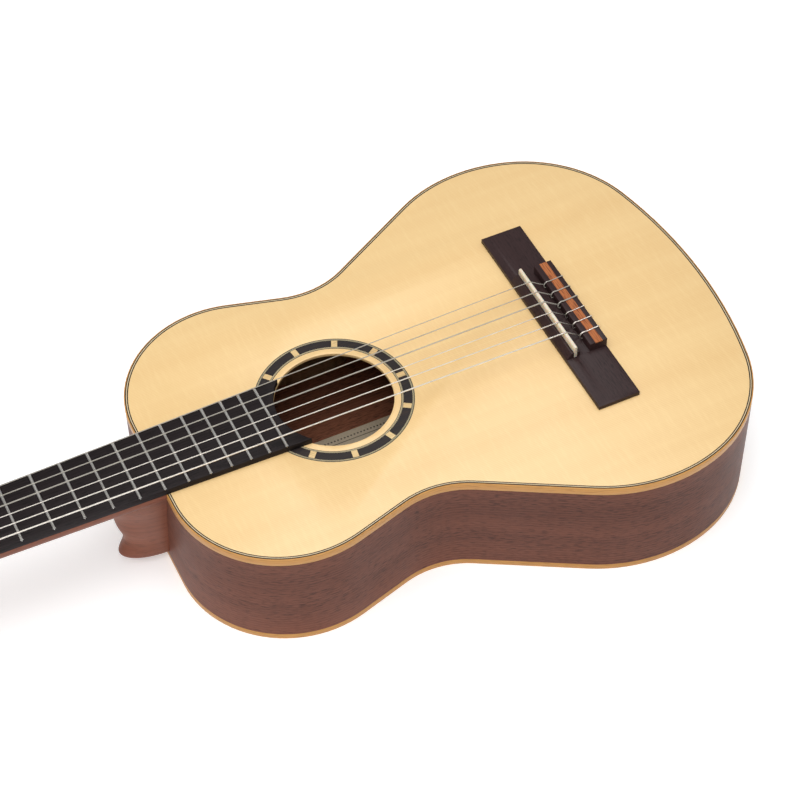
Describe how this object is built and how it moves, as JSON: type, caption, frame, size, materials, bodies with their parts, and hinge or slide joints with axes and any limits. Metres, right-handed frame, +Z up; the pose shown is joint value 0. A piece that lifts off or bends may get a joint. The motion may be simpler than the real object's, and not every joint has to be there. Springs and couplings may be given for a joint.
{
  "type": "classical guitar",
  "caption": "Classical guitar with a hollow waisted body, round soundhole, fretted neck and slotted headstock with geared tuners that turn.",
  "frame": {"origin": "on the outer face of the back, on the centreline, under the centre of the soundhole", "axes": "+Y along the neck towards the headstock, +X towards the treble strings, +Z up out of the soundboard"},
  "size_m": [0.3214, 0.8783, 0.1031],
  "materials": {
    "spruce_top": "satin lacquer",
    "mahogany_shell": "satin lacquer",
    "maple_binding": "satin lacquer",
    "inner_wood": "raw",
    "neck_mahogany": "satin lacquer",
    "rosewood": "oiled",
    "fingerboard_wood": "oiled",
    "purfling": "satin lacquer",
    "rosette_lines": "satin lacquer",
    "rosette_dark": "satin lacquer",
    "rosette_light": "satin lacquer",
    "nickel_silver": "polished",
    "bone": "polished",
    "tie_inlay": "satin lacquer",
    "label_paper": "matte",
    "plated_steel": "plated",
    "brass_gear": "turned",
    "button_plastic": "gloss",
    "roller_plastic": "satin",
    "nylon": "clear",
    "wound_silver": "wound"
  },
  "bodies": {
    "body": {"soundboard": "spruce_top", "back_panel": "mahogany_shell", "rib_bass": "mahogany_shell", "rib_treble": "mahogany_shell", "end_graft": "maple_binding", "neck_block": "inner_wood", "tail_block": "inner_wood", "linings": "inner_wood", "soundboard_braces": "inner_wood", "back_braces": "inner_wood", "neck_shaft": "neck_mahogany", "heel_block": "neck_mahogany", "headstock": "neck_mahogany", "headstock_veneer": "rosewood", "fingerboard": "fingerboard_wood", "bridge": "rosewood", "top_binding": "maple_binding", "back_binding": "maple_binding", "top_purfling": "purfling", "rosette_lines": "rosette_lines", "rosette_segments": "rosette_dark", "rosette_blocks": "rosette_light", "frets": "nickel_silver", "nut": "bone", "saddle": "bone", "tie_block_inlay": "tie_inlay", "label": "label_paper", "tuner_plate_bass": "plated_steel", "tuner_plate_treble": "plated_steel", "tuner_plate_screws": "plated_steel", "string_1": "nylon", "string_2": "nylon", "string_3": "nylon", "string_4": "wound_silver", "string_5": "wound_silver", "string_6": "wound_silver"},
    "tuner_button_1": {"button_1": "button_plastic", "worm_1": "plated_steel"},
    "tuner_roller_1": {"gear_1": "brass_gear", "roller_1": "roller_plastic"},
    "tuner_button_2": {"button_2": "button_plastic", "worm_2": "plated_steel"},
    "tuner_roller_2": {"gear_2": "brass_gear", "roller_2": "roller_plastic"},
    "tuner_button_3": {"button_3": "button_plastic", "worm_3": "plated_steel"},
    "tuner_roller_3": {"gear_3": "brass_gear", "roller_3": "roller_plastic"},
    "tuner_button_4": {"button_4": "button_plastic", "worm_4": "plated_steel"},
    "tuner_roller_4": {"gear_4": "brass_gear", "roller_4": "roller_plastic"},
    "tuner_button_5": {"button_5": "button_plastic", "worm_5": "plated_steel"},
    "tuner_roller_5": {"gear_5": "brass_gear", "roller_5": "roller_plastic"},
    "tuner_button_6": {"button_6": "button_plastic", "worm_6": "plated_steel"},
    "tuner_roller_6": {"gear_6": "brass_gear", "roller_6": "roller_plastic"}
  },
  "joints": [
    {"name": "button_1_turn", "type": "hinge", "parent": "body", "child": "tuner_button_1", "pos_m": [0.0371, 0.48522, 0.06731], "axis": [0, 0.2419, 0.9703], "continuous": true},
    {"name": "roller_1_turn", "type": "hinge", "parent": "body", "child": "tuner_roller_1", "pos_m": [0, 0.47794, 0.06913], "axis": [1, 0, 0], "continuous": true},
    {"name": "button_2_turn", "type": "hinge", "parent": "body", "child": "tuner_button_2", "pos_m": [0.0371, 0.51918, 0.05884], "axis": [0, 0.2419, 0.9703], "continuous": true},
    {"name": "roller_2_turn", "type": "hinge", "parent": "body", "child": "tuner_roller_2", "pos_m": [0, 0.5119, 0.06066], "axis": [1, 0, 0], "continuous": true},
    {"name": "button_3_turn", "type": "hinge", "parent": "body", "child": "tuner_button_3", "pos_m": [0.0371, 0.55314, 0.05038], "axis": [0, 0.2419, 0.9703], "continuous": true},
    {"name": "roller_3_turn", "type": "hinge", "parent": "body", "child": "tuner_roller_3", "pos_m": [0, 0.54586, 0.05219], "axis": [1, 0, 0], "continuous": true},
    {"name": "button_4_turn", "type": "hinge", "parent": "body", "child": "tuner_button_4", "pos_m": [-0.0371, 0.55314, 0.05038], "axis": [0, 0.2419, 0.9703], "continuous": true},
    {"name": "roller_4_turn", "type": "hinge", "parent": "body", "child": "tuner_roller_4", "pos_m": [0, 0.54586, 0.05219], "axis": [1, 0, 0], "continuous": true},
    {"name": "button_5_turn", "type": "hinge", "parent": "body", "child": "tuner_button_5", "pos_m": [-0.0371, 0.51918, 0.05884], "axis": [0, 0.2419, 0.9703], "continuous": true},
    {"name": "roller_5_turn", "type": "hinge", "parent": "body", "child": "tuner_roller_5", "pos_m": [0, 0.5119, 0.06066], "axis": [1, 0, 0], "continuous": true},
    {"name": "button_6_turn", "type": "hinge", "parent": "body", "child": "tuner_button_6", "pos_m": [-0.0371, 0.48522, 0.06731], "axis": [0, 0.2419, 0.9703], "continuous": true},
    {"name": "roller_6_turn", "type": "hinge", "parent": "body", "child": "tuner_roller_6", "pos_m": [0, 0.47794, 0.06913], "axis": [1, 0, 0], "continuous": true}
  ],
  "couplings": [
    {"joint": "roller_1_turn", "follows": "button_1_turn", "ratio": -0.071429},
    {"joint": "roller_2_turn", "follows": "button_2_turn", "ratio": -0.071429},
    {"joint": "roller_3_turn", "follows": "button_3_turn", "ratio": -0.071429},
    {"joint": "roller_4_turn", "follows": "button_4_turn", "ratio": -0.071429},
    {"joint": "roller_5_turn", "follows": "button_5_turn", "ratio": -0.071429},
    {"joint": "roller_6_turn", "follows": "button_6_turn", "ratio": -0.071429}
  ]
}
